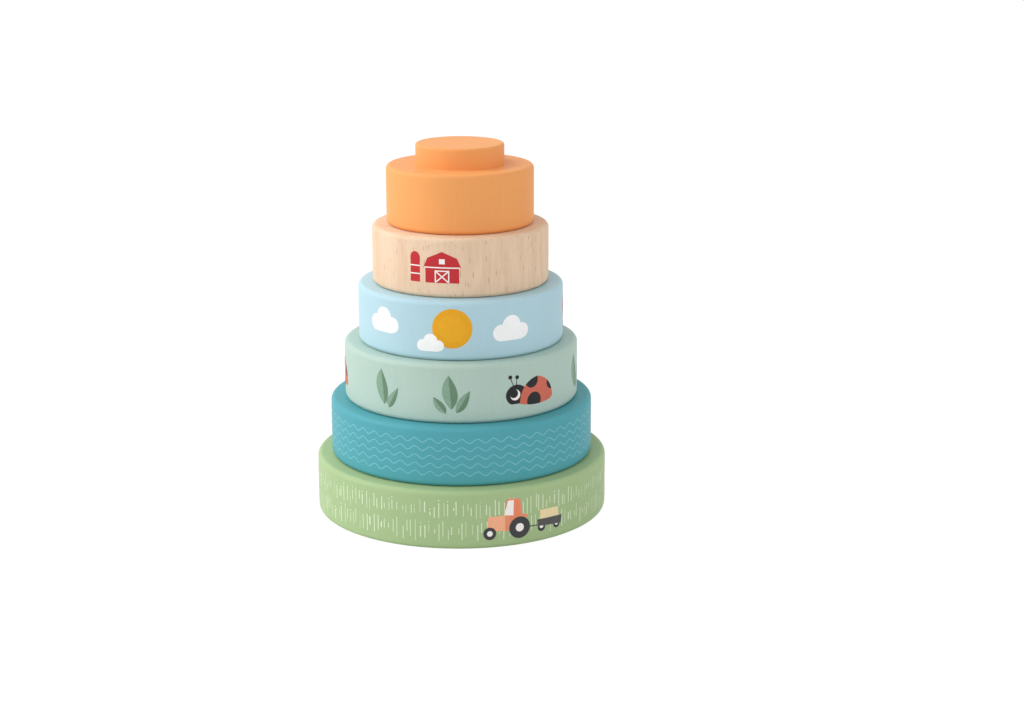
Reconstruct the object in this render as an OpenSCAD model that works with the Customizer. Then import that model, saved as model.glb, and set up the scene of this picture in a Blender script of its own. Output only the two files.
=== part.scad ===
// Stacking ring toy: a turned base disc with a glued and screwed post, four loose
// rings that drop over the post, and a ring with a knob that caps the stack.
// Millimetres, +Z up, with the origin at the centre of the base's underside.

/* [Stack] */
// Outside diameter of the base disc
base_d = 125; // [104:1:150]
// Outside diameter that each tier loses from the tier below it
tier_step_d = 12.5; // [8:0.5:15]
// Height of the base disc
base_h = 25; // [20:0.5:32]
// Height of each ring, the top one included
ring_h = 25; // [18:0.5:32]
// Radius of the rounded outer edges of the base and the rings
edge_r = 2; // [0.5:0.1:4]
// Radius of the rounded mouths of the rings' bores
bore_edge_r = 1.2; // [0.5:0.1:2]

/* [Post] */
// Diameter of the post
post_d = 20; // [16:0.5:24]
// Radial play between the post and each ring's bore
ring_play = 2; // [1:0.1:2.5]
// Radius of the round-over at the post's top
crown_r = 6; // [3:0.5:7.5]
// Chamfer at the post's foot
foot_chamfer = 1; // [0.5:0.1:1.5]
// Air between the post's top and the knob's tenon
crown_gap = 2.5; // [1:0.5:4]

/* [Top knob] */
// Diameter of the knob
knob_d = 37.5; // [31:0.5:45]
// Height of the knob above the top ring
knob_h = 8.8; // [6:0.1:16]
// Radius of the knob's rounded rim
knob_edge_r = 1; // [0.5:0.1:2]
// Depth of the knob's tenon in the top ring's bore
tenon_h = 7; // [5:0.5:9]

/* [Screw fixing] */
// Diameter over the thread of the screw that holds the post from below
screw_d = 4; // [3.5:0.1:5]
// Length of the screw under its head
screw_l = 30; // [22:1:38]
// Diameter of the screw's pan head
head_d = 8; // [6.5:0.1:9.6]
// Height of the screw's pan head
head_h = 3; // [2:0.1:3.6]
// Outside diameter of the washer under the head
washer_d = 12; // [10:0.1:14.4]
// Thickness of the washer
washer_t = 1; // [0.8:0.1:1.5]
// Depth of the head below the base's underside
head_sink = 2; // [1:0.1:3]
// Wood between the washer's recess and the post's socket
socket_floor = 4; // [3:0.1:6]

/* [Hidden] */
$fn = 96;

tiers = 6;                // the base disc, four loose rings and the top ring
glue_line = 0.05;         // radial gap of each glued tenon in its socket
hole_clearance = 0.25;    // radial room round the screw and round the washer
thread_clearance = 0.02;  // between the screw's thread and the wood that it cut
thread_depth = 0.6;       // height of the thread over the screw's core
thread_pitch = 2;
point_l = 4;              // length of the screw's tapered point
head_edge_r = 1.2;        // round-over of the pan head
drive_w = 4.4;            // width across the head's cross recess
drive_slot = 1.1;         // thickness of the recess's slots
drive_depth = 1.6;
overcut = 1;              // how far a cutter runs past the face that it opens

bore_r = post_d / 2 + ring_play;
recess_h = head_sink + head_h + washer_t;
socket_z = recess_h + socket_floor;
stack_top_z = tier_z(tiers);
tenon_z = stack_top_z - tenon_h;
post_top_z = tenon_z - crown_gap;
screw_z = head_sink + head_h;
smooth_l = washer_t + socket_floor;

teal = [0.36, 0.63, 0.67];
green = [0.64, 0.73, 0.52];
mint = [0.69, 0.78, 0.73];
sky_blue = [0.70, 0.81, 0.88];
bare_beech = [0.90, 0.80, 0.68];
orange = [0.94, 0.65, 0.40];
steel = [0.72, 0.73, 0.75];

// Outside radius of a tier, with the base disc as tier 0
function tier_r(tier) = (base_d - tier * tier_step_d) / 2;
// Height at which a tier stands
function tier_z(tier) = tier == 0 ? 0 : base_h + (tier - 1) * ring_h;

// Points of the screw's shank from the axis under its head, up round the smooth
// shank, the thread's ridges and the point, and back to the axis
function shank_outline(grow = 0) =
  let (
    core_r = screw_d / 2 - thread_depth + grow,
    crest_r = screw_d / 2 + grow,
    turns = floor((screw_l - smooth_l - point_l) / thread_pitch),
    thread_start = screw_l - point_l - turns * thread_pitch
  )
  concat(
    [[0, 0], [core_r, 0]],
    [for (turn = [0 : turns - 1], half = [0, 1])
      [half == 0 ? core_r : crest_r, thread_start + (turn + half / 2) * thread_pitch]],
    [[core_r, screw_l - point_l], [0, screw_l + grow]]
  );

// What a round-over takes from a corner of an outline, with inwards as [x, y] signs
module round_over(corner, inwards, r) {
  if (r > 0)
    translate(corner)
      difference() {
        square(2 * r, center = true);
        translate(inwards * r) circle(r);
      }
}

// Half section of a turned piece: a rectangle with each corner rounded as asked
module turned_section(r_in, r_out, h, out_lo = 0, out_hi = 0, in_lo = 0, in_hi = 0) {
  difference() {
    translate([r_in, 0]) square([r_out - r_in, h]);
    round_over([r_out, 0], [-1, 1], out_lo);
    round_over([r_out, h], [-1, -1], out_hi);
    round_over([r_in, 0], [1, 1], in_lo);
    round_over([r_in, h], [1, -1], in_hi);
  }
}

// A cylinder whose lower rim is chamfered, as a tenon's is
module chamfered_pin(r, h, chamfer) {
  rotate_extrude()
    polygon([[0, 0], [r - chamfer, 0], [r, chamfer], [r, h], [0, h]]);
}

// A hole that runs past the face that it opens at its lower end
module hole_up(r, z_from, z_to) {
  translate([0, 0, z_from - overcut]) cylinder(r = r, h = z_to - z_from + overcut);
}

// One ring of the stack, standing at its tier's height, with its bore round the post
module tier_ring(tier) {
  translate([0, 0, tier_z(tier)])
    rotate_extrude()
      turned_section(bore_r, tier_r(tier), ring_h, edge_r, edge_r, bore_edge_r, bore_edge_r);
}

module base_disc() {
  color(green)
    difference() {
      rotate_extrude() turned_section(0, tier_r(0), base_h, edge_r, edge_r);
      hole_up(washer_d / 2 + hole_clearance, 0, recess_h);
      hole_up(screw_d / 2 + hole_clearance, recess_h, socket_z);
      translate([0, 0, socket_z])
        cylinder(r = post_d / 2 + glue_line, h = base_h - socket_z + overcut);
    }
}

module post() {
  color(bare_beech)
    difference() {
      union() {
        translate([0, 0, socket_z])
          chamfered_pin(post_d / 2, base_h - socket_z, foot_chamfer);
        translate([0, 0, base_h])
          rotate_extrude()
            turned_section(0, post_d / 2, post_top_z - base_h, out_hi = crown_r);
      }
      translate([0, 0, screw_z]) rotate_extrude() polygon(shank_outline(thread_clearance));
    }
}

module post_screw() {
  color(steel) {
    translate([0, 0, screw_z]) rotate_extrude() polygon(shank_outline());
    translate([0, 0, head_sink])
      difference() {
        rotate_extrude() turned_section(0, head_d / 2, head_h, out_lo = head_edge_r);
        for (turn = [0, 90])
          rotate([0, 0, turn])
            translate([-drive_w / 2, -drive_slot / 2, -overcut])
              cube([drive_w, drive_slot, drive_depth + overcut]);
      }
  }
}

module screw_washer() {
  color(steel)
    translate([0, 0, screw_z])
      rotate_extrude()
        turned_section(screw_d / 2 + hole_clearance, washer_d / 2, washer_t);
}

module teal_ring() {
  color(teal) tier_ring(1);
}

module mint_ring() {
  color(mint) tier_ring(2);
}

module blue_ring() {
  color(sky_blue) tier_ring(3);
}

module natural_ring() {
  color(bare_beech) tier_ring(4);
}

module top_ring() {
  color(orange) tier_ring(5);
}

module top_knob() {
  color(orange) {
    translate([0, 0, tenon_z]) chamfered_pin(bore_r - glue_line, tenon_h, foot_chamfer);
    translate([0, 0, stack_top_z])
      rotate_extrude() turned_section(0, knob_d / 2, knob_h, out_hi = knob_edge_r);
  }
}

base_disc();
post();
post_screw();
screw_washer();
teal_ring();
mint_ring();
blue_ring();
natural_ring();
top_ring();
top_knob();
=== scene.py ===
"""Paint, grain and prints of a wooden stacking ring toy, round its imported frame.

Drawings are in millimetres on the unrolled side of a tier: x runs round the tier from
its front towards +X, and z rises from the tier's foot. Meshes are in metres.
"""

from collections import namedtuple
from math import cos, hypot, pi, radians, sin, sqrt

import bmesh
import bpy
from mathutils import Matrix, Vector


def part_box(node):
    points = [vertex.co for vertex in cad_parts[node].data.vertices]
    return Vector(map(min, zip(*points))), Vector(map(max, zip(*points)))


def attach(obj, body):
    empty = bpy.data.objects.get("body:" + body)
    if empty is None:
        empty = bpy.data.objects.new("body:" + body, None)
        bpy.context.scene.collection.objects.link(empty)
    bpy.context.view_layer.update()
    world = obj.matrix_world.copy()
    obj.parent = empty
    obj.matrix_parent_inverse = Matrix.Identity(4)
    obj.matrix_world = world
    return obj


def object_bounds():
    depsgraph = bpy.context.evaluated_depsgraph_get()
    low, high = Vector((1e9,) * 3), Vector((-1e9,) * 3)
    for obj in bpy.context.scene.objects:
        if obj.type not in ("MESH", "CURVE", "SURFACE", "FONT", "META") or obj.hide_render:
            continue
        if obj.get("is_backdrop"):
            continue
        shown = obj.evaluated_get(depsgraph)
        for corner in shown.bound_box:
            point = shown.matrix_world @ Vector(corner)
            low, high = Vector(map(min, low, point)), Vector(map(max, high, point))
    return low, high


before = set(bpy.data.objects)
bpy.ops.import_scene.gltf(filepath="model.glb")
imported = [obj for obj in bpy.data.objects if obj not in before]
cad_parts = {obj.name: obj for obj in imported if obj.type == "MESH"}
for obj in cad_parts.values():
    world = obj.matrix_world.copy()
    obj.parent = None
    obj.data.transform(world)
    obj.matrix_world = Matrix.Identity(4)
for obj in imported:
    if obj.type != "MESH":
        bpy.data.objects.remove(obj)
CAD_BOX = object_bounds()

bl_info = {
    "name": "Stacking Ring Toy",
    "version": (1, 0, 0),
    "blender": (4, 5, 0),
    "location": "View3D > Sidebar > Ring Toy",
    "description": "Paints, wood grain and farmyard prints of a wooden stacking ring toy",
    "category": "Object",
}

MM = 0.001

FILM = 0.05 * MM       # how far the lowest ink stands proud of the wood
LAYER = 0.03 * MM      # how far each further ink stands proud of the one below
BURY = 0.10 * MM       # how deep a print's closed back lies in the wood
STRIP = 1.25           # widest upright strip of a print, so that it bends round, in mm
SHARP = radians(30)    # edges that turn by more than this stay crisp
SPECULAR = 0.1         # specular level of paint, wood and ink, all of them nearly matt

PAINT_TONES = (0.975, 1.02)   # the darkest and lightest share of a paint's colour
INK_TONES = (0.95, 1.04)      # the same of an ink's colour
ZINC_TONES = (0.82, 1.1)      # the same of the zinc's colour
WOOD_RELIEF = 0.03 * MM       # how high the fibres of bare beech stand
INK_RELIEF = 0.012 * MM       # how high the mottling of an ink stands
ZINC_RELIEF = 0.004 * MM      # how high the turned marks in the zinc stand
TURNED_MARK = 0.06 * MM       # radius per radian of the turned marks' wave

LEAF_HEEL = 0.7        # half the width of a leaf's blunt foot, in mm
VEIN_WIDTH = 0.22      # width of a leaf's veins, in mm
VEIN_REACH = 0.72      # how far a vein runs from the midrib to the rim
TRIM_WIDTH = 0.5       # width of the barn's trim, in mm

Tier = namedtuple("Tier", "body radius foot")
Shape = namedtuple("Shape", "ink outline layer")


def tier(node, body):
    """A tier's body, and its radius and foot in metres, as the frame has them."""
    low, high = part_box(node)
    return Tier(body, high.x, low.z)


BASE = tier("base_disc", "base")
TEAL = tier("teal_ring", "teal")
MINT = tier("mint_ring", "mint")
BLUE = tier("blue_ring", "blue")
NATURAL = tier("natural_ring", "natural")


# ---------------------------------------------------------------- settings


def linear(code):
    """Linear RGB of a six-digit colour code."""
    channels = (int(code[i : i + 2], 16) / 255 for i in (0, 2, 4))
    return tuple(c / 12.92 if c <= 0.04045 else ((c + 0.055) / 1.055) ** 2.4 for c in channels)


def colour_property(name, description, code):
    return bpy.props.FloatVectorProperty(
        name=name, description=description, default=linear(code),
        subtype="COLOR", size=3, min=0, max=1,
    )


def length_property(name, description, millimetres):
    return bpy.props.FloatProperty(
        name=name, description=description, default=millimetres * MM,
        unit="LENGTH", min=0, precision=5,
    )


def angle_property(name, description, default):
    return bpy.props.FloatProperty(
        name=name, description=description, default=radians(default),
        subtype="ANGLE", unit="ROTATION",
    )


def factor_property(name, description, default, most=1.0):
    return bpy.props.FloatProperty(
        name=name, description=description, default=default, subtype="FACTOR", min=0, max=most,
    )


def power_property(name, description, watts):
    return bpy.props.FloatProperty(
        name=name, description=description, default=watts, unit="POWER", min=0,
    )


def count_property(name, description, default):
    return bpy.props.IntProperty(name=name, description=description, default=default, min=1)


class PaintSettings(bpy.types.PropertyGroup):
    green: colour_property("Green", "Paint of the base disc", "a9c18f")
    teal: colour_property("Teal", "Paint of the lowest ring", "56a5b0")
    mint: colour_property("Mint", "Paint of the second ring", "b4cbc0")
    blue: colour_property("Blue", "Paint of the third ring", "b4d4df")
    orange: colour_property("Orange", "Paint of the top ring and its knob", "f3a664")
    sheen: factor_property("Roughness", "Roughness of the satin paint", 0.46)
    grain: length_property("Grain relief", "Height of the fibres that print through", 0.01)


class WoodSettings(bpy.types.PropertyGroup):
    pale: colour_property("Pale wood", "Early wood of the bare beech", "edd1b5")
    dark: colour_property("Dark wood", "Late wood of the bare beech", "dfbe9f")
    fleck: colour_property("Fleck", "Ray flecks of the bare beech", "c29d76")
    ring_gap: length_property("Ring spacing", "Distance between growth rings", 5.5)
    fleck_gap: length_property("Fleck spacing", "Distance between ray flecks", 1.05)
    steel: colour_property("Zinc", "Zinc plating of the screw and the washer", "b9bbbf")


class InkSettings(bpy.types.PropertyGroup):
    wave: colour_property("Wave", "Wave lines on the lowest ring", "7abfc9")
    blade: colour_property("Grass", "Bright grass strokes on the base", "e9f4da")
    blade_dim: colour_property("Dim grass", "Dim grass strokes on the base", "c8dab2")
    coral: colour_property("Coral", "Tractor's body and cab", "f08c6b")
    peach: colour_property("Peach", "Tractor's hood", "fab58f")
    rust: colour_property("Rust", "Tractor's dashboard and mudguard", "ec9773")
    straw: colour_property("Straw", "Hay on the trailer", "f2dfae")
    charcoal: colour_property("Charcoal", "Tyres and the kites' tails", "484849")
    slate: colour_property("Slate", "Trailer's bed and drawbar", "5c5b5b")
    cream: colour_property("Cream", "Hubs, windows, eyes and the barn's trim", "fbf6f1")
    leaf: colour_property("Light leaf", "Light halves of the leaves", "88a791")
    leaf_dark: colour_property("Dark leaf", "Dark halves of the leaves", "6c8b71")
    vein: colour_property("Vein", "Veins of the leaves", "98b5a1")
    ladybird: colour_property("Ladybird", "Ladybirds' backs", "ce6d5b")
    black: colour_property("Black", "Ladybirds' heads and spots", "302f31")
    cloud: colour_property("Cloud", "Clouds", "fafafb")
    sun: colour_property("Sun", "Rims of the suns", "eaa828")
    sun_light: colour_property("Light sun", "Middles of the suns", "edad2c")
    red: colour_property("Red", "Kites and barn", "c6383d")
    red_dark: colour_property("Dark red", "Shaded halves of the kites", "a5323a")


class WaveSettings(bpy.types.PropertyGroup):
    waves: count_property("Waves", "Waves round the ring", 54)
    rows: count_property("Rows", "Rows of waves", 5)
    lowest: length_property("Lowest row", "Height of the lowest row's middle", 5.6)
    gap: length_property("Row spacing", "Distance between rows", 3.5)
    swell: length_property("Swell", "Height of a crest over its row's middle", 0.87)
    line: length_property("Line width", "Width of the printed line", 0.42)


class GrassSettings(bpy.types.PropertyGroup):
    blades: count_property("Blades", "Strokes round the base in each row", 200)
    line: length_property("Line width", "Width of a stroke", 0.38)
    dotted: factor_property("Dotted share", "Share of strokes with a dot over them", 0.16)
    wide: factor_property("Wide share", "Share of strokes that are wider", 0.12)


class StageSettings(bpy.types.PropertyGroup):
    lens: bpy.props.FloatProperty(
        name="Lens", description="Focal length in millimetres", default=70.51, min=1,
    )
    distance: length_property("Distance", "Camera's distance from the post's axis", 838.5)
    height: length_property("Height", "Camera's height over the floor", 285.7)
    tilt: angle_property("Tilt", "How far the camera looks down", 14.663)
    pan: angle_property("Pan", "How far the camera looks towards +X", 1.5)
    fill: factor_property("Fill", "Strength of the light that comes from all round", 0.56, 4)
    left: power_property("Left lamp", "Power of the soft lamp on the left", 12.1)
    right: power_property("Right lamp", "Power of the soft lamp on the right", 5.5)
    upper: power_property("Upper lamp", "Power of the soft lamp high behind", 7.0)
    front: power_property("Front lamp", "Power of the soft lamp high in front", 6.0)


class RingToySettings(bpy.types.PropertyGroup):
    paint: bpy.props.PointerProperty(name="Paint", type=PaintSettings)
    wood: bpy.props.PointerProperty(name="Wood", type=WoodSettings)
    inks: bpy.props.PointerProperty(name="Inks", type=InkSettings)
    waves: bpy.props.PointerProperty(name="Waves", type=WaveSettings)
    grass: bpy.props.PointerProperty(name="Grass", type=GrassSettings)
    stage: bpy.props.PointerProperty(name="Stage", type=StageSettings)


def settings():
    return bpy.context.scene.ring_toy


# ---------------------------------------------------------------- node trees


class Wire:
    """An output socket that Python's operators join to others with Math nodes."""

    def __init__(self, graph, socket):
        self.graph, self.socket = graph, socket

    def output(self, key):
        """Another output of the same node."""
        return Wire(self.graph, pick(self.socket.node.outputs, key))

    def __add__(self, other):
        return self.graph.math("ADD", self, other)

    def __radd__(self, other):
        return self.graph.math("ADD", other, self)

    def __sub__(self, other):
        return self.graph.math("SUBTRACT", self, other)

    def __rsub__(self, other):
        return self.graph.math("SUBTRACT", other, self)

    def __mul__(self, other):
        return self.graph.math("MULTIPLY", self, other)

    def __rmul__(self, other):
        return self.graph.math("MULTIPLY", other, self)

    def __truediv__(self, other):
        return self.graph.math("DIVIDE", self, other)

    def __gt__(self, other):
        return self.graph.math("GREATER_THAN", self, other)

    def __lt__(self, other):
        return self.graph.math("LESS_THAN", self, other)


def pick(sockets, key):
    """A socket by its index, or the first live one by its name."""
    if isinstance(key, int):
        return sockets[key]
    return next(s for s in sockets if s.enabled and s.name == key)


class Graph:
    """Adds nodes to one tree, for shaders and for geometry alike."""

    def __init__(self, tree):
        self.tree = tree

    def node(self, kind, options=None, inputs=None, output=0):
        """Adds a node: its options first, then the values or wires of its inputs."""
        node = self.tree.nodes.new(kind)
        for name, value in (options or {}).items():
            setattr(node, name, value)
        for key, value in (inputs or {}).items():
            socket = pick(node.inputs, key)
            if isinstance(value, Wire):
                self.tree.links.new(value.socket, socket)
            else:
                socket.default_value = value
        return Wire(self, pick(node.outputs, output)) if node.outputs else node

    def math(self, operation, *values):
        return self.node("ShaderNodeMath", {"operation": operation}, dict(enumerate(values)))

    def vector(self, operation, *values):
        options = {"operation": operation}
        return self.node("ShaderNodeVectorMath", options, dict(enumerate(values)))

    def point(self, x, y, z):
        return self.node("ShaderNodeCombineXYZ", None, {0: x, 1: y, 2: z})

    def parts(self, vector):
        x = self.node("ShaderNodeSeparateXYZ", None, {0: vector})
        return x, x.output(1), x.output(2)


class Shader(Graph):
    """A new material with one Principled surface."""

    def __init__(self, name):
        self.material = bpy.data.materials.new(name)
        self.material.use_nodes = True
        self.material.node_tree.nodes.clear()
        super().__init__(self.material.node_tree)
        self.place = self.node("ShaderNodeTexCoord", output="Object")

    def noise(self, wavelengths, detail=2.0, roughness=0.5):
        """Noise from 0 to 1 whose features are about that long on x, y and z, in mm."""
        scale = tuple(1 / (w * MM) for w in wavelengths)
        values = {"Vector": self.vector("MULTIPLY", self.place, scale), "Scale": 1.0,
                  "Detail": detail, "Roughness": roughness}
        return self.node("ShaderNodeTexNoise", None, values)

    def ramp(self, value, low, high):
        """0 below low, 1 above high, and smooth between them."""
        options = {"interpolation_type": "SMOOTHSTEP"}
        return self.node("ShaderNodeMapRange", options, {0: value, 1: low, 2: high})

    def blend(self, factor, first, second):
        options = {"data_type": "RGBA"}
        values = {0: factor, 6: opaque(first), 7: opaque(second)}
        return self.node("ShaderNodeMix", options, values, 2)

    def surface(self, colour, roughness, height=None, relief=0.0, **values):
        """Ends the material. relief is how high a height of 1 stands, in metres."""
        inputs = {"Base Color": colour, "Roughness": roughness, "Specular IOR Level": SPECULAR}
        if height is not None:
            inputs["Normal"] = self.node(
                "ShaderNodeBump", None, {"Strength": 1.0, "Distance": relief, "Height": height}
            )
        inputs.update(values)
        shader = self.node("ShaderNodeBsdfPrincipled", None, inputs)
        self.node("ShaderNodeOutputMaterial", None, {"Surface": shader})
        return self.material


def opaque(colour):
    """A colour as a socket takes it: a wire as it is, and values with full alpha."""
    return colour if isinstance(colour, Wire) else (*tuple(colour)[:3], 1.0)


def shade(colour, by):
    """A colour made lighter or darker, with its hue kept."""
    return tuple(min(1.0, c * by) for c in tuple(colour)[:3])


class Growth(Graph):
    """A new geometry tree whose inputs are named and typed by `sizes`."""

    def __init__(self, name, sizes):
        tree = bpy.data.node_groups.new(name, "GeometryNodeTree")
        face = tree.interface
        face.new_socket("Geometry", in_out="INPUT", socket_type="NodeSocketGeometry")
        for label, kind in sizes.items():
            face.new_socket(label, in_out="INPUT", socket_type="NodeSocket" + kind)
        face.new_socket("Geometry", in_out="OUTPUT", socket_type="NodeSocketGeometry")
        super().__init__(tree)
        self.first = tree.nodes.new("NodeGroupInput")

    def given(self, label):
        return Wire(self, self.first.outputs[label])

    def attribute(self, name):
        return self.node("GeometryNodeInputNamedAttribute", {"data_type": "FLOAT"}, {0: name})

    def store(self, geometry, name, value):
        options = {"data_type": "FLOAT", "domain": "POINT"}
        values = {0: geometry, 2: name, 3: value}
        return self.node("GeometryNodeStoreNamedAttribute", options, values)

    def join(self, *geometries):
        node = self.tree.nodes.new("GeometryNodeJoinGeometry")
        for geometry in geometries:
            self.tree.links.new(geometry.socket, node.inputs[0])
        return Wire(self, node.outputs[0])

    def wrap(self, geometry, x, y, z, turn):
        """Bends flat geometry round a tier, front at -Y, with y as the depth below it."""
        radius, foot = self.given("Radius"), self.given("Foot")
        angle = x / radius + turn
        reach = radius - y
        place = self.point(
            reach * self.math("SINE", angle), 0.0 - reach * self.math("COSINE", angle), z + foot
        )
        return self.node("GeometryNodeSetPosition", None, {0: geometry, 2: place})

    def close(self, geometry):
        """Ends the tree: real geometry in one ink."""
        geometry = self.node("GeometryNodeRealizeInstances", None, {0: geometry})
        geometry = self.node("GeometryNodeSetMaterial", None, {0: geometry, 2: self.given("Ink")})
        self.node("NodeGroupOutput", None, {0: geometry})
        return self.tree


def grown(tree, values, points=()):
    """The plain mesh that a tree makes on an object with these points."""
    mesh = bpy.data.meshes.new(tree.name)
    mesh.from_pydata(points, [], [])
    host = placed(tree.name, mesh)
    modifier = host.modifiers.new(tree.name, "NODES")
    modifier.node_group = tree
    for item in tree.interface.items_tree:
        if item.in_out == "INPUT" and item.name in values:
            modifier[item.identifier] = values[item.name]
    graph = bpy.context.evaluated_depsgraph_get()
    result = bpy.data.meshes.new_from_object(host.evaluated_get(graph), depsgraph=graph)
    host.modifiers.clear()
    bpy.data.objects.remove(host)
    if not result.polygons:
        raise RuntimeError(f"{tree.name} made no faces")
    return result


def placed(name, data):
    """A new object in the scene that holds this data."""
    obj = bpy.data.objects.new(name, data)
    bpy.context.scene.collection.objects.link(obj)
    return obj


# ---------------------------------------------------------------- finishes


def painted_beech(name, paint):
    """Satin paint on turned beech, whose upright fibres print through it."""
    look = settings().paint
    shader = Shader(name)
    cloudy = shader.noise((38, 38, 30), detail=1)
    fibre = shader.noise((1.1, 1.1, 16), detail=3, roughness=0.6)
    pore = shader.noise((0.5, 0.5, 1.6), detail=1)
    tone = cloudy * 0.45 + fibre * 0.4 + pore * 0.15
    deep, pale = (shade(paint, by) for by in PAINT_TONES)
    colour = shader.blend(shader.ramp(tone, 0.3, 0.7), deep, pale)
    rough = look.sheen - 0.06 + fibre * 0.09 + pore * 0.04
    height = fibre * 0.75 + pore * 0.25
    return shader.surface(colour, rough, height, look.grain)


def bare_beech(name, pith):
    """Bare sanded beech: growth rings round a pith line along Z, fibres and ray flecks."""
    look = settings().wood
    shader = Shader(name)
    x, y, _ = shader.parts(shader.place)
    wander = shader.noise((24, 24, 90), detail=2)
    across, along = x - pith[0], y - pith[1]
    reach = shader.math("SQRT", across * across + along * along)
    phase = shader.math("FRACT", reach / look.ring_gap + wander * 2.6)
    late = shader.ramp(phase, 0.35, 0.93) * (1 - shader.ramp(phase, 0.93, 1.0))
    fibre = shader.noise((0.8, 0.8, 14), detail=4, roughness=0.65)
    cloudy = shader.noise((16, 16, 40), detail=2)
    tone = late * 0.09 + fibre * 0.55 + cloudy * 0.36
    wood = shader.blend(shader.ramp(tone, 0.3, 0.75), look.pale, look.dark)

    def flecks(offset, width):
        gap = look.fleck_gap
        stretched = shader.vector("MULTIPLY", shader.place, (1 / gap, 1 / gap, 0.15 / gap))
        moved = shader.vector("ADD", stretched, (offset, 2 * offset, 3 * offset))
        values = {"Vector": moved, "Scale": 1.0}
        near = shader.node("ShaderNodeTexVoronoi", None, values, "Distance")
        cell, _, _ = shader.parts(near.output("Color"))
        edge = width * (0.4 + cell)
        return 1 - shader.ramp(near / edge, 0.6, 1.0)

    dark = flecks(0.0, 0.2)
    light = flecks(7.3, 0.12)
    wood = shader.blend(dark * 0.7, wood, look.fleck)
    wood = shader.blend(light * 0.5, wood, shade(look.pale, 1.08))
    rough = 0.52 + fibre * 0.14 - light * 0.05
    return shader.surface(wood, rough, fibre - dark * 0.6, WOOD_RELIEF)


def zinc_steel(name):
    """Bright zinc plating with fine turned marks and clouded patches."""
    look = settings().wood
    shader = Shader(name)
    x, y, _ = shader.parts(shader.place)
    reach = shader.math("SQRT", x * x + y * y)
    mark = shader.math("SINE", reach / TURNED_MARK) * 0.5 + 0.5
    cloudy = shader.noise((1.5, 1.5, 1.5), detail=3)
    deep, pale = (shade(look.steel, by) for by in ZINC_TONES)
    colour = shader.blend(cloudy, deep, pale)
    rough = 0.3 + cloudy * 0.2 + mark * 0.05
    return shader.surface(colour, rough, mark, ZINC_RELIEF, Metallic=1.0)


def ink(label, dim=None):
    """Satin printing ink, a little mottled. With dim, each stroke has its own tone."""
    name = label + "_ink"
    if name in bpy.data.materials:
        return bpy.data.materials[name]
    colours = settings().inks
    colour = getattr(colours, label)
    shader = Shader(name)
    mottle = shader.noise((0.7, 0.7, 2.2), detail=3, roughness=0.6)
    broad = shader.noise((14, 14, 14), detail=1)
    tone = mottle * 0.6 + broad * 0.4
    deep, pale = (shade(colour, by) for by in INK_TONES)
    fresh = shader.blend(shader.ramp(tone, 0.3, 0.7), deep, pale)
    if dim:
        own = shader.node("ShaderNodeAttribute", {"attribute_name": "tone"}, None, "Fac")
        fresh = shader.blend(own, fresh, getattr(colours, dim))
    return shader.surface(fresh, 0.42 + mottle * 0.14, mottle, INK_RELIEF)


# ---------------------------------------------------------------- drawing


def oval(x, z, rx, rz=None, steps=40):
    rz = rz or rx
    turns = (2 * pi * i / steps for i in range(steps))
    return [(x + rx * cos(t), z + rz * sin(t)) for t in turns]


def bow(start, via, end, steps=12):
    """Points of a smooth arc from start to just before end, with via at its middle."""
    bend = [2 * v - (a + b) / 2 for a, v, b in zip(start, via, end)]
    curve = []
    for i in range(steps):
        t = i / steps
        weights = ((1 - t) ** 2, 2 * t * (1 - t), t * t)
        curve.append(tuple(sum(w * p[k] for w, p in zip(weights, (start, bend, end)))
                           for k in (0, 1)))
    return curve


def bar(start, end, width):
    """A straight line of that width."""
    (x0, z0), (x1, z1) = start, end
    length = hypot(x1 - x0, z1 - z0)
    dx, dz = (z1 - z0) / length * width / 2, (x0 - x1) / length * width / 2
    return [(x0 + dx, z0 + dz), (x1 + dx, z1 + dz), (x1 - dx, z1 - dz), (x0 - dx, z0 - dz)]


def box(x0, z0, x1, z1):
    return [(x0, z0), (x1, z0), (x1, z1), (x0, z1)]


def area(outline):
    """Twice the signed area of an outline: above 0 when it runs anticlockwise."""
    pairs = zip(outline, outline[1:] + outline[:1])
    return sum(a[0] * b[1] - b[0] * a[1] for a, b in pairs)


def clipped(outline, by):
    """The part of an outline that lies inside a convex one; both anticlockwise."""
    for a, b in zip(by, by[1:] + by[:1]):
        def inside(p):
            return (b[0] - a[0]) * (p[1] - a[1]) - (b[1] - a[1]) * (p[0] - a[0])
        kept = []
        for p, q in zip(outline, outline[1:] + outline[:1]):
            at_p, at_q = inside(p), inside(q)
            if at_p >= 0:
                kept.append(p)
            if (at_p > 0 > at_q) or (at_p < 0 < at_q):
                t = at_p / (at_p - at_q)
                kept.append((p[0] + t * (q[0] - p[0]), p[1] + t * (q[1] - p[1])))
        outline = kept
    return outline


def cloud(size=1.0, steps=72):
    """A cloud of three round lobes on a flat bottom, with its bottom's middle at 0, 0."""
    lobes = ((-4.8, 3.5, 3.5), (0.1, 6.4, 4.2), (5.0, 3.6, 3.3))
    middle = (0.0, 3.4)
    outline = []
    for i in range(steps):
        dx, dz = cos(2 * pi * i / steps), sin(2 * pi * i / steps)
        reaches = []
        for x, z, r in lobes:
            x, z = x - middle[0], z - middle[1]
            along = x * dx + z * dz
            inner = along * along - (x * x + z * z - r * r)
            if inner >= 0:
                reaches.append(along + sqrt(inner))
        if dz < 0 and abs(dx / dz * middle[1]) < lobes[2][0]:
            reaches.append(middle[1] / -dz)
        reach = max(reaches)
        outline.append((middle[0] + reach * dx, middle[1] + reach * dz))
    outline = clipped(outline, box(-20, 0, 20, 20))
    return [(x * size, z * size) for x, z in outline]


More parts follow.
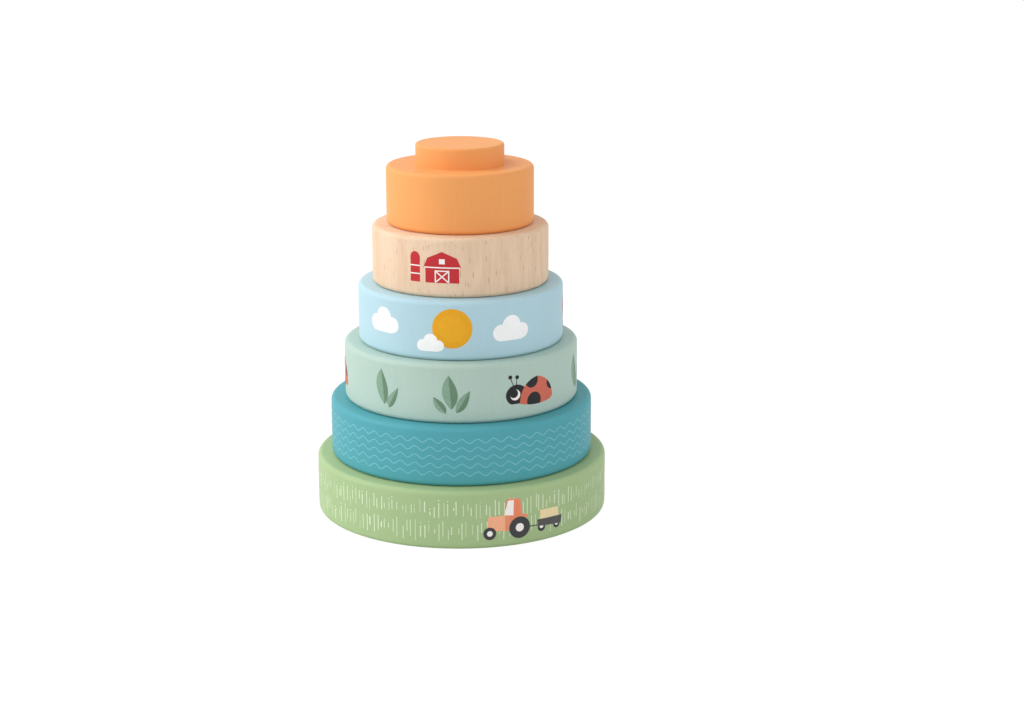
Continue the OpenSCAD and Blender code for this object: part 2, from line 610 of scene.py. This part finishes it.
def leaf(tip, foot, left, right, rib):
    """A leaf in two tones that meet on its midrib, with veins on its light half.

    left, right and rib are the middles of its left rim, its right rim and its midrib.
    """
    share = LEAF_HEEL / hypot(tip[0] - foot[0], tip[1] - foot[1])
    dx, dz = (tip[0] - foot[0]) * share, (tip[1] - foot[1]) * share
    left_heel = (foot[0] + dx - dz, foot[1] + dz + dx)
    right_heel = (foot[0] + dx + dz, foot[1] + dz - dx)
    light = bow(foot, rib, tip) + bow(tip, left, left_heel) + [left_heel]
    dark = bow(right_heel, right, tip) + bow(tip, rib, foot) + [foot]
    shapes = [Shape("leaf", light, 0), Shape("leaf_dark", dark, 0)]
    ribs = bow(foot, rib, tip, 10)
    rims = bow(foot, left, tip, 10)
    for i in (2, 4, 6):
        (x0, z0), (x1, z1) = ribs[i], rims[i + 1]
        end = (x0 + VEIN_REACH * (x1 - x0), z0 + VEIN_REACH * (z1 - z0))
        shapes.append(Shape("vein", bar((x0, z0), end, VEIN_WIDTH), 1))
    return shapes


def flat_print(shapes, label):
    """The shapes of one ink as an object of closed flat slabs, sliced into strips."""
    whole = bmesh.new()
    for shape in shapes:
        if shape.ink != label:
            continue
        outline = shape.outline if area(shape.outline) > 0 else shape.outline[::-1]
        front = -(FILM + shape.layer * LAYER)
        slab = bmesh.new()
        slab.faces.new([slab.verts.new((x * MM, front, z * MM)) for x, z in outline])
        left, right = (f(x for x, _ in outline) for f in (min, max))
        cuts = int((right - left) / STRIP) + 1
        for i in range(1, cuts):
            cut = (left + (right - left) * i / cuts) * MM
            bmesh.ops.bisect_plane(
                slab, geom=slab.verts[:] + slab.edges[:] + slab.faces[:],
                plane_co=(cut, 0, 0), plane_no=(1, 0, 0), dist=1e-7,
            )
        made = bmesh.ops.extrude_face_region(slab, geom=slab.faces[:])["geom"]
        corners = [v for v in made if isinstance(v, bmesh.types.BMVert)]
        bmesh.ops.translate(slab, verts=corners, vec=(0, BURY - front, 0))
        bmesh.ops.triangulate(slab, faces=slab.faces[:])
        bmesh.ops.recalc_face_normals(slab, faces=slab.faces[:])
        mesh = bpy.data.meshes.new("slab")
        slab.to_mesh(mesh)
        slab.free()
        whole.from_mesh(mesh)
        bpy.data.meshes.remove(mesh)
    flat = bpy.data.meshes.new(label)
    whole.to_mesh(flat)
    whole.free()
    return placed(label, flat)


def piece(name, layers, body):
    """Joins (mesh, material) layers into one finished piece that rides on a body."""
    whole = bmesh.new()
    mesh = bpy.data.meshes.new(name)
    for index, (layer, material) in enumerate(layers):
        done = len(whole.faces)
        whole.from_mesh(layer)
        whole.faces.ensure_lookup_table()
        for face in whole.faces[done:]:
            face.material_index = index
            face.smooth = True
        mesh.materials.append(material)
        bpy.data.meshes.remove(layer)
    whole.to_mesh(mesh)
    whole.free()
    mesh.set_sharp_from_angle(angle=SHARP)
    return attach(placed(name, mesh), body)


def wrapped_picture():
    """Geometry tree: copies of a flat print at the host's points, bent round a tier."""
    known = bpy.data.node_groups.get("wrapped picture")
    if known:
        return known
    sizes = {"Print": "Object", "Radius": "Float", "Foot": "Float", "Ink": "Material"}
    tree = Growth("wrapped picture", sizes)
    flat = tree.node("GeometryNodeObjectInfo", None, {0: tree.given("Print")}, "Geometry")
    copies = tree.node("GeometryNodeInstanceOnPoints", None,
                       {0: tree.given("Geometry"), 2: flat})
    real = tree.node("GeometryNodeRealizeInstances", None, {0: copies})
    x, y, z = tree.parts(tree.node("GeometryNodeInputPosition"))
    return tree.close(tree.wrap(real, x, y, z, 0.0))


def print_picture(shapes, on, places):
    """Prints a picture round a tier at places, which are (degrees, height in mm)."""
    points = [(radians(turn) * on.radius, 0, height * MM) for turn, height in places]
    layers = []
    for label in dict.fromkeys(shape.ink for shape in shapes):
        flat = flat_print(shapes, label)
        values = {"Print": flat, "Radius": on.radius, "Foot": on.foot, "Ink": ink(label)}
        layers.append((grown(wrapped_picture(), values, points), ink(label)))
        bpy.data.objects.remove(flat)
    return layers


# ---------------------------------------------------------------- pieces


class RINGTOY_OT_paint_discs(bpy.types.Operator):
    """Paints the base disc, the painted rings and the knob"""

    bl_idname = "ring_toy.paint_discs"
    bl_label = "Paint Discs"

    def execute(self, context):
        look = settings().paint
        orange = painted_beech("orange_paint_finish", look.orange)
        finishes = {
            "base_disc": painted_beech("green_paint_finish", look.green),
            "teal_ring": painted_beech("teal_paint_finish", look.teal),
            "mint_ring": painted_beech("mint_paint_finish", look.mint),
            "blue_ring": painted_beech("blue_paint_finish", look.blue),
            "top_ring": orange,
            "top_knob": orange,
        }
        for node, finish in finishes.items():
            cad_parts[node].material_slots[0].material = finish
        return {"FINISHED"}


class RINGTOY_OT_sand_beech(bpy.types.Operator):
    """Gives the bare ring and the post their beech grain"""

    bl_idname = "ring_toy.sand_beech"
    bl_label = "Sand Beech"

    # Where the growth rings' pith stands on x and y, in metres
    PITHS = {"natural_ring": (0.021, 0.058), "post": (-0.03, 0.012)}

    def execute(self, context):
        for node, pith in self.PITHS.items():
            finish = bare_beech(node + "_beech", pith)
            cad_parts[node].material_slots[0].material = finish
        return {"FINISHED"}


class RINGTOY_OT_plate_hardware(bpy.types.Operator):
    """Plates the screw and its washer with zinc"""

    bl_idname = "ring_toy.plate_hardware"
    bl_label = "Plate Hardware"

    def execute(self, context):
        for node in ("post_screw", "screw_washer"):
            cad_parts[node].material_slots[0].material = zinc_steel(node + "_zinc")
        return {"FINISHED"}


class RINGTOY_OT_print_waves(bpy.types.Operator):
    """Prints the rows of waves round the teal ring"""

    bl_idname = "ring_toy.print_waves"
    bl_label = "Print Waves"

    POINTS_PER_WAVE = 12

    def execute(self, context):
        look = settings().waves
        values = {
            "Radius": TEAL.radius, "Foot": TEAL.foot, "Waves": look.waves, "Rows": look.rows,
            "Lowest": look.lowest, "Row gap": look.gap, "Swell": look.swell,
            "Line": look.line, "Film": FILM, "Bury": BURY, "Ink": ink("wave"),
        }
        piece("teal_waves", [(grown(self.tree(), values), ink("wave"))], TEAL.body)
        return {"FINISHED"}

    def tree(self):
        """Geometry tree: rows of one closed cosine line each."""
        sizes = {
            "Radius": "Float", "Foot": "Float", "Waves": "Int", "Rows": "Int",
            "Lowest": "Float", "Row gap": "Float", "Swell": "Float", "Line": "Float",
            "Film": "Float", "Bury": "Float", "Ink": "Material",
        }
        tree = Growth("printed waves", sizes)
        given = tree.given
        waves = given("Waves")
        film, bury = given("Film"), given("Bury")
        middle = given("Radius") + (film - bury) * 0.5
        circle = tree.node("GeometryNodeCurvePrimitiveCircle", {"mode": "RADIUS"},
                           {0: waves * self.POINTS_PER_WAVE, 4: middle})
        rows = tree.node(
            "GeometryNodeMeshLine", {"mode": "OFFSET", "count_mode": "TOTAL"},
            {0: given("Rows"), 2: tree.point(0.0, 0.0, given("Foot") + given("Lowest")),
             3: tree.point(0.0, 0.0, given("Row gap"))},
        )
        lines = tree.node("GeometryNodeInstanceOnPoints", None, {0: rows, 2: circle})
        lines = tree.node("GeometryNodeRealizeInstances", None, {0: lines})
        x, y, _ = tree.parts(tree.node("GeometryNodeInputPosition"))
        angle = tree.math("ARCTAN2", x, 0.0 - y)
        rise = given("Swell") * tree.math("COSINE", angle * waves)
        lines = tree.node("GeometryNodeSetPosition", None,
                          {0: lines, 3: tree.point(0.0, 0.0, rise)})
        lines = tree.node("GeometryNodeSetCurveNormal", {"mode": "Z_UP"}, {0: lines})
        profile = tree.node("GeometryNodeCurvePrimitiveQuadrilateral", {"mode": "RECTANGLE"},
                            {0: film + bury, 1: given("Line")})
        ribbon = tree.node("GeometryNodeCurveToMesh", None, {0: lines, 1: profile})
        return tree.close(ribbon)


class RINGTOY_OT_print_grass(bpy.types.Operator):
    """Prints the rows of grass strokes round the base disc"""

    bl_idname = "ring_toy.print_grass"
    bl_label = "Print Grass"

    # Lowest and highest starts and ends of the strokes in each row, in mm
    ROWS = (
        {"Low from": 12.9, "Low to": 16.9, "High from": 17.6, "High to": 21.6, "Seed": 3},
        {"Low from": 3.2, "Low to": 7.4, "High from": 8.6, "High to": 12.7, "Seed": 11},
    )
    DRIFT = 0.28        # how far a stroke may stand from its place, as a share of the spacing
    WIDENED = 0.6       # how much wider a wide stroke is, as a share of the line
    DOT = 1.5           # a dot's width, in lines
    DOT_GAP = 2         # the gap between a stroke and its dot, in lines
    BEAD_SIDES = 8

    def execute(self, context):
        look = settings().grass
        tree = self.tree()
        meshes = []
        for row in self.ROWS:
            values = {
                "Radius": BASE.radius, "Foot": BASE.foot, "Film": FILM, "Bury": BURY,
                "Blades": look.blades, "Line": look.line, "Dotted": look.dotted,
                "Wide": look.wide, "Ink": ink("blade", "blade_dim"), "Seed": row["Seed"],
            }
            values.update((k, v * MM) for k, v in row.items() if k != "Seed")
            meshes.append((grown(tree, values), ink("blade", "blade_dim")))
        piece("grass_strokes", meshes, BASE.body)
        return {"FINISHED"}

    def tree(self):
        """Geometry tree: one ragged row of upright strokes, some with a dot over them."""
        sizes = {
            "Radius": "Float", "Foot": "Float", "Film": "Float", "Bury": "Float",
            "Blades": "Int", "Line": "Float", "Dotted": "Float", "Wide": "Float",
            "Low from": "Float", "Low to": "Float", "High from": "Float",
            "High to": "Float", "Seed": "Int", "Ink": "Material",
        }
        tree = Growth("grass strokes", sizes)
        given = tree.given
        blades = given("Blades")
        number = tree.node("GeometryNodeInputIndex")
        draws = iter(range(20))

        def chance(low=0.0, high=1.0):
            """A random value for each stroke; every call has a seed of its own."""
            values = {2: low, 3: high, 7: number, 8: given("Seed") * 31 + next(draws)}
            return tree.node("FunctionNodeRandomValue", {"data_type": "FLOAT"}, values, 1)

        line, film, bury = given("Line"), given("Film"), given("Bury")
        turn = (number + chance(-self.DRIFT, self.DRIFT)) * (2 * pi) / blades
        low = chance(given("Low from"), given("Low to"))
        high = chance(given("High from"), given("High to"))
        dotted = chance() < given("Dotted")
        wide = (chance() < given("Wide")) * self.WIDENED + 1
        tone = chance()
        row = tree.node("GeometryNodeMeshLine", {"mode": "OFFSET", "count_mode": "TOTAL"},
                        {0: blades, 3: (0.0, 0.0, 0.0)})
        bead = tree.node("GeometryNodeMeshCylinder", None,
                         {0: self.BEAD_SIDES, 3: line * 0.5, 4: film + bury}, "Mesh")
        bead = tree.node("GeometryNodeTransform", None,
                         {"Geometry": bead, "Rotation": (pi / 2, pi / self.BEAD_SIDES, 0)})

        def strokes(low, high, wide, which):
            """Beads at the row's points, each pulled out to reach from low to high."""
            points = row
            half = line * wide * 0.5
            for name, value in (("turn", turn), ("low", low + half), ("high", high - half),
                                ("tone", tone)):
                points = tree.store(points, name, value)
            beads = tree.node("GeometryNodeInstanceOnPoints", None,
                              {0: points, 1: which, 2: bead, 6: tree.point(wide, 1.0, wide)})
            beads = tree.node("GeometryNodeRealizeInstances", None, {0: beads})
            x, y, z = tree.parts(tree.node("GeometryNodeInputPosition"))
            up = z > 0.0
            bottom, top = tree.attribute("low"), tree.attribute("high")
            height = z + bottom + up * (top - bottom)
            depth = y - (film - bury) * 0.5
            return tree.wrap(beads, x, depth, height, tree.attribute("turn"))

        spot = line * self.DOT
        cut = high - dotted * (spot + line * self.DOT_GAP)
        blades_only = strokes(low, cut, wide, True)
        dots = strokes(high - spot, high, self.DOT, dotted)
        return tree.close(tree.join(blades_only, dots))


class RINGTOY_OT_print_tractors(bpy.types.Operator):
    """Prints the tractors with their hay trailers on the base disc"""

    bl_idname = "ring_toy.print_tractors"
    bl_label = "Print Tractors"

    PLACES = ((22.0, 3.35), (202.0, 3.35))

    def execute(self, context):
        piece("tractors", print_picture(self.shapes(), BASE, self.PLACES), BASE.body)
        return {"FINISHED"}

    def shapes(self):
        """A tractor that faces left and pulls a flat trailer with a bale."""
        cab = [(-6.7, 10.7), (-1.84, 10.34), (1.1, 10.7), (0.42, 17.2), (-5.39, 17.7)]
        return [
            Shape("coral", [(-6.2, 4.2), (2.5, 4.2), (3.2, 9.6), (0.6, 10.8), (-6.4, 10.7)], 1),
            Shape("coral", cab, 1),
            Shape("rust", box(-6.2, 3.9, -3.6, 10.5), 2),
            Shape("peach", [(-13.8, 6.3), (-10.5, 4.2), (-6.0, 4.0), (-6.2, 10.7),
                            (-13.35, 10.4)], 2),
            Shape("cream", [(-6.62, 10.69), (-2.65, 10.25), (-2.43, 16.88),
                            (-4.96, 16.87)], 2),
            Shape("rust", [(0.42, 10.83), (3.91, 9.86), (3.77, 8.64), (0.3, 9.7)], 2),
            Shape("slate", bar((4.5, 4.48), (8.9, 4.36), 0.5), 1),
            Shape("charcoal", oval(0.2, 4.75, 4.65), 3),
            Shape("charcoal", oval(-12.7, 3.25, 2.68), 3),
            Shape("cream", oval(0.2, 4.75, 1.8, steps=28), 4),
            Shape("cream", oval(-12.7, 3.25, 1.2, steps=24), 4),
            Shape("straw", [(9.76, 6.8), (19.4, 6.6), (19.0, 10.5), (9.75, 10.7)], 1),
            Shape("charcoal", oval(10.5, 3.15, 1.8, steps=28), 1),
            Shape("charcoal", oval(18.3, 3.0, 1.65, steps=28), 1),
            Shape("cream", oval(10.46, 3.55, 0.9, steps=20), 2),
            Shape("cream", oval(18.25, 3.3, 0.85, steps=20), 2),
            Shape("slate", [(8.4, 6.7), (8.8, 3.9), (20.6, 3.0), (21.2, 6.5)], 3),
        ]


class RINGTOY_OT_print_leaves(bpy.types.Operator):
    """Prints the sprigs of two and of three leaves on the mint ring"""

    bl_idname = "ring_toy.print_leaves"
    bl_label = "Print Leaves"

    PAIR_PLACES = ((-37.8, 0.57), (76.0, 0.57), (194.0, 0.57))
    TRIPLE_PLACES = ((-2.3, 0.57), (112.0, 0.57), (228.0, 0.57))

    def execute(self, context):
        pair = (
            leaf((-3.2, 20.1), (-1.5, 5.1), (-6.0, 13.3), (0.25, 12.1), (-2.3, 12.5))
            + leaf((5.7, 13.3), (0.7, 4.1), (0.2, 8.1), (4.2, 7.4), (2.6, 8.1))
        )
        triple = (
            leaf((-3.3, 20.2), (-2.1, 5.7), (-6.0, 13.2), (0.4, 12.6), (-2.7, 12.6))
            + leaf((-9.7, 10.9), (-4.4, 3.9), (-8.8, 6.6), (-5.5, 8.1), (-7.1, 7.2))
            + leaf((5.5, 13.6), (-0.2, 4.3), (1.0, 9.9), (4.1, 7.3), (2.5, 8.5))
        )
        layers = print_picture(pair, MINT, self.PAIR_PLACES)
        layers += print_picture(triple, MINT, self.TRIPLE_PLACES)
        piece("leaves", layers, MINT.body)
        return {"FINISHED"}


class RINGTOY_OT_print_ladybirds(bpy.types.Operator):
    """Prints the ladybirds on the mint ring"""

    bl_idname = "ring_toy.print_ladybirds"
    bl_label = "Print Ladybirds"

    PLACES = ((35.0, 0.57), (153.0, 0.57), (-89.0, 0.57))

    def execute(self, context):
        piece("ladybirds", print_picture(self.shapes(), MINT, self.PLACES), MINT.body)
        return {"FINISHED"}

    def shapes(self):
        """A ladybird that faces left."""
        left, top, right, low = (-5.5, 6.3), (3.4, 17.0), (12.3, 8.0), (9.5, 5.6)
        back = (bow(left, (2.0, 5.1), low) + bow(low, (11.7, 6.5), right)
                + bow(right, (9.3, 14.0), top) + bow(top, (-3.0, 13.6), left))
        head = clipped(oval(-6.95, 10.3, 4.9, 4.4, steps=48), box(-20, 6.5, 20, 30))
        spots = (oval(0.4, 15.6, 3.2), oval(1.7, 6.8, 3.6), oval(11.7, 13.0, 3.0))
        shapes = [Shape("ladybird", back, 1), Shape("black", head, 0)]
        shapes += [Shape("black", clipped(spot, back), 2) for spot in spots]
        shapes += [
            Shape("cream", oval(-7.6, 10.4, 2.3, steps=28), 1),
            Shape("black", oval(-8.25, 11.05, 1.9, steps=28), 2),
            Shape("black", oval(-9.9, 18.1, 0.85, steps=20), 1),
            Shape("black", oval(-6.75, 17.85, 0.85, steps=20), 1),
            Shape("black", bar((-8.4, 14.2), (-9.8, 17.6), 0.3), 0),
            Shape("black", bar((-7.2, 14.2), (-6.8, 17.4), 0.3), 0),
        ]
        return shapes


class RINGTOY_OT_print_sky(bpy.types.Operator):
    """Prints the clouds, the suns and the kites on the blue ring"""

    bl_idname = "ring_toy.print_sky"
    bl_label = "Print Sky"

    CLOUD_PLACES = ((-46.9, 9.45), (28.3, 7.7), (122.0, 9.1), (-150.0, 7.9))
    SMALL_CLOUD_PLACES = ((-16.8, 4.0), (163.0, 4.1))
    SUN_PLACES = ((-4.8, 13.8), (175.0, 13.8))
    KITE_PLACES = ((85.5, 7.3), (-97.0, 7.3))

    def execute(self, context):
        sun = [Shape("sun", oval(0, 0, 8.3, steps=64), 0),
               Shape("sun_light", oval(0, 0, 5.6, steps=56), 1)]
        small = [Shape("cloud", cloud(0.7), 2)]
        layers = print_picture([Shape("cloud", cloud(), 0)], BLUE, self.CLOUD_PLACES)
        layers += print_picture(small, BLUE, self.SMALL_CLOUD_PLACES)
        layers += print_picture(sun, BLUE, self.SUN_PLACES)
        piece("clouds_and_suns", layers, BLUE.body)
        piece("kites", print_picture(self.kite(), BLUE, self.KITE_PLACES), BLUE.body)
        return {"FINISHED"}

    def kite(self):
        """A kite in two tones, with two bows on its tail."""
        return [
            Shape("red", [(0, 0), (0, 12), (-3.4, 7.6)], 0),
            Shape("red_dark", [(0, 0), (3.4, 7.6), (0, 12)], 0),
            Shape("charcoal", bar((0, 0.1), (2.1, -2.0), 0.3), 0),
            Shape("charcoal", bar((1.9, -1.9), (5.2, -3.4), 0.3), 0),
            Shape("red", [(1.1, -3.1), (2.1, -2.0), (1.0, -1.2)], 1),
            Shape("red", [(3.1, -2.8), (2.1, -2.0), (3.2, -0.9)], 1),
            Shape("red", [(4.2, -4.6), (5.2, -3.4), (4.0, -2.8)], 1),
            Shape("red", [(6.2, -4.1), (5.2, -3.4), (6.4, -2.3)], 1),
        ]


class RINGTOY_OT_print_barn(bpy.types.Operator):
    """Prints the barn on the bare ring"""

    bl_idname = "ring_toy.print_barn"
    bl_label = "Print Barn"

    PLACES = ((-16.35, 6.4),)

    def execute(self, context):
        piece("barn", print_picture(self.shapes(), NATURAL, self.PLACES), NATURAL.body)
        return {"FINISHED"}

    def shapes(self):
        """A barn with a gambrel roof and a cross-braced door, beside a silo."""
        roof = [(-5.0, 6.3), (11.0, 6.3), (9.2, 10.3), (3.0, 13.0), (-3.2, 10.3)]
        silo = clipped(oval(-8.8, 10.2, 2.2, 2.4), box(-20, 10.2, 20, 20))
        shapes = [
            Shape("red", box(-4.1, 0, 10.1, 6.4), 0),
            Shape("red", roof, 0),
            Shape("red", box(-11.0, 0, -6.6, 10.2), 0),
            Shape("red", silo, 0),
            Shape("cream", box(1.8, 7.9, 4.2, 10.0), 1),
        ]
        trim = (
            ((0.2, 0.2), (0.2, 5.0)), ((5.8, 0.2), (5.8, 5.0)), ((-0.05, 5.0), (6.05, 5.0)),
            ((0.3, 0.3), (5.7, 4.9)), ((5.7, 0.3), (0.3, 4.9)),
            ((-4.5, 6.4), (10.5, 6.4)), ((-11.0, 3.4), (-6.6, 3.4)), ((-11.0, 6.8), (-6.6, 6.8)),
        )
        return shapes + [Shape("cream", bar(a, b, TRIM_WIDTH), 1) for a, b in trim]


class RINGTOY_OT_set_stage(bpy.types.Operator):
    """Sets the pale floor, the studio light and the camera"""

    bl_idname = "ring_toy.set_stage"
    bl_label = "Set Stage"

    # For each lamp the setting that holds its power, its place and its width, in metres
    LAMPS = (
        ("left", (-1.45, -0.15, 0.75), 1.0),
        ("right", (1.45, -0.35, 0.25), 1.0),
        ("upper", (-0.9, 0.5, 1.3), 0.8),
        ("front", (-0.5, -1.25, 1.35), 1.2),
    )
    FLOOR_REACH = 9     # half the width of the floor, in metres
    FLOOR_WHITE = 1.09  # strength of the white that the camera sees over the floor
    FLOOR_SHARE = 0.87  # how much of that white covers the floor's own shading

    def execute(self, context):
        look = settings().stage
        scene = context.scene
        scene.view_settings.view_transform = "Standard"
        camera = placed("camera", bpy.data.cameras.new("camera"))
        camera.data.lens = look.lens
        camera.data.sensor_width = 36
        camera.location = (0, -look.distance, look.height)
        camera.rotation_euler = (pi / 2 - look.tilt, 0, -look.pan)
        scene.camera = camera
        self.floor()
        self.world(look.fill)
        for setting, place, size in self.LAMPS:
            self.lamp(setting + "_lamp", place, size, getattr(look, setting))
        return {"FINISHED"}

    def lamp(self, name, place, size, power):
        """A square soft lamp that shines at the middle of the toy."""
        data = bpy.data.lights.new(name, "AREA")
        data.size, data.energy = size, power
        lamp = placed(name, data)
        aim = (CAD_BOX[0] + CAD_BOX[1]) / 2 - Vector(place)
        lamp.location = place
        lamp.rotation_euler = aim.to_track_quat("-Z", "Y").to_euler()

    def seen(self, graph):
        """1 for rays that show the backdrop, directly or in a gloss, and 0 for light."""
        path = graph.node("ShaderNodeLightPath", output="Is Camera Ray")
        glossy, through = path.output("Is Glossy Ray"), path.output("Is Transmission Ray")
        return graph.math("MINIMUM", path + glossy + through, 1.0)

    def floor(self):
        """A wide pale floor that keeps a soft shadow and shows white elsewhere."""
        mesh = bpy.data.meshes.new("floor")
        far = self.FLOOR_REACH
        mesh.from_pydata([(-far, -far, 0), (far, -far, 0), (far, far, 0), (-far, far, 0)],
                         [], [(0, 1, 2, 3)])
        floor = placed("floor", mesh)
        shader = Shader("floor_finish")
        pale = shader.node("ShaderNodeBsdfDiffuse", None, {"Color": (0.8, 0.8, 0.8, 1)})
        veil = shader.node("ShaderNodeEmission", None,
                           {"Color": (1, 1, 1, 1), "Strength": self.FLOOR_WHITE})
        share = self.seen(shader) * self.FLOOR_SHARE
        mixed = shader.node("ShaderNodeMixShader", None, {0: share, 1: pale, 2: veil})
        shader.node("ShaderNodeOutputMaterial", None, {"Surface": mixed})
        mesh.materials.append(shader.material)
        floor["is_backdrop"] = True

    def world(self, fill):
        """A white room: plain white where it is seen, and softer where it lights."""
        world = bpy.data.worlds.new("studio")
        world.use_nodes = True
        world.node_tree.nodes.clear()
        graph = Graph(world.node_tree)
        seen = self.seen(graph)
        light = graph.node("ShaderNodeBackground", None,
                           {"Color": (1, 1, 1, 1), "Strength": fill + seen * (1 - fill)})
        graph.node("ShaderNodeOutputWorld", None, {"Surface": light})
        bpy.context.scene.world = world


class RINGTOY_PT_sidebar(bpy.types.Panel):
    """The toy's settings and the steps that make it"""

    bl_idname = "RINGTOY_PT_sidebar"
    bl_label = "Stacking Ring Toy"
    bl_space_type = "VIEW_3D"
    bl_region_type = "UI"
    bl_category = "Ring Toy"

    def draw(self, context):
        for step in STEPS:
            self.layout.operator(step.bl_idname)
        for group in ("paint", "wood", "inks", "waves", "grass", "stage"):
            section = self.layout.box()
            section.label(text=group.title())
            owner = getattr(context.scene.ring_toy, group)
            for name in owner.__annotations__:
                section.prop(owner, name)


STEPS = (
    RINGTOY_OT_paint_discs, RINGTOY_OT_sand_beech, RINGTOY_OT_plate_hardware,
    RINGTOY_OT_print_waves, RINGTOY_OT_print_grass, RINGTOY_OT_print_tractors,
    RINGTOY_OT_print_leaves, RINGTOY_OT_print_ladybirds, RINGTOY_OT_print_sky,
    RINGTOY_OT_print_barn, RINGTOY_OT_set_stage,
)
CLASSES = (
    PaintSettings, WoodSettings, InkSettings, WaveSettings, GrassSettings, StageSettings,
    RingToySettings, *STEPS, RINGTOY_PT_sidebar,
)


def register():
    for cls in CLASSES:
        bpy.utils.register_class(cls)
    bpy.types.Scene.ring_toy = bpy.props.PointerProperty(type=RingToySettings)


def unregister():
    del bpy.types.Scene.ring_toy
    for cls in reversed(CLASSES):
        bpy.utils.unregister_class(cls)


def write_sizes():
    """Gathers the box of the frame and the box of the finished toy as plain lists, and writes
    nothing.
    """
    boxes = {"cad": CAD_BOX, "visual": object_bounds()}
    plain = {name: [list(corner) for corner in corners] for name, corners in boxes.items()}


def main():
    register()
    bpy.ops.ring_toy.paint_discs()
    bpy.ops.ring_toy.sand_beech()
    bpy.ops.ring_toy.plate_hardware()
    bpy.ops.ring_toy.print_waves()
    bpy.ops.ring_toy.print_grass()
    bpy.ops.ring_toy.print_tractors()
    bpy.ops.ring_toy.print_leaves()
    bpy.ops.ring_toy.print_ladybirds()
    bpy.ops.ring_toy.print_sky()
    bpy.ops.ring_toy.print_barn()
    bpy.ops.ring_toy.set_stage()
    write_sizes()


if __name__ == "__main__":
    main()
